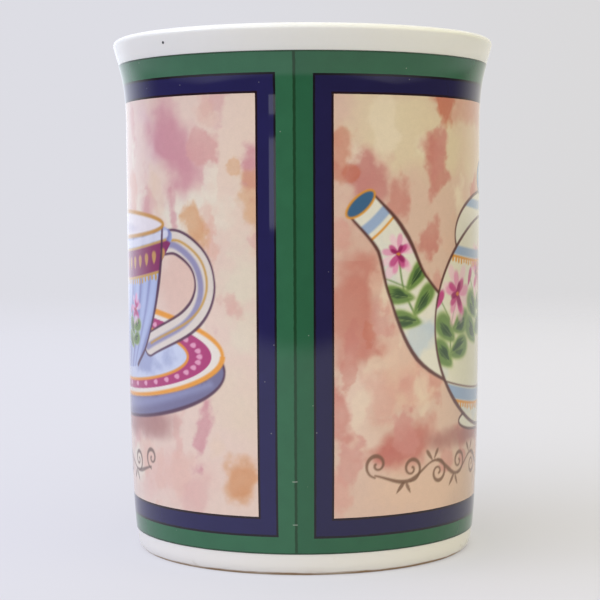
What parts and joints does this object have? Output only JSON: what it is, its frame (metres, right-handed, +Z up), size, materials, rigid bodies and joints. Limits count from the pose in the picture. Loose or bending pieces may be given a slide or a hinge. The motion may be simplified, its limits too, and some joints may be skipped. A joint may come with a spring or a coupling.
{
  "type": "ceramic mug",
  "caption": "Tall bone-china mug with a flared lip, a C-shaped handle and two printed picture panels that meet in a seam opposite the handle.",
  "frame": {"origin": "on the mug's axis, on the plane that its foot ring stands on", "axes": "+Z up along the axis of the body; +Y towards the handle; the seam between the two printed panels faces -Y"},
  "size_m": [0.0774, 0.1066, 0.1033],
  "materials": {
    "china": "clear glossy glaze on white china, bare under the foot ring",
    "green_print": "glossy green transfer print",
    "navy_print": "glossy dark blue transfer print",
    "picture_print": "glossy transfer print of a watercolour picture"
  },
  "bodies": {
    "root": {"mug_body": "china", "handle": "china", "upper_handle_joint": "china", "lower_handle_joint": "china", "left_green_border": "green_print", "right_green_border": "green_print", "left_navy_frame": "navy_print", "right_navy_frame": "navy_print", "left_picture": "picture_print", "right_picture": "picture_print"}
  },
  "joints": []
}
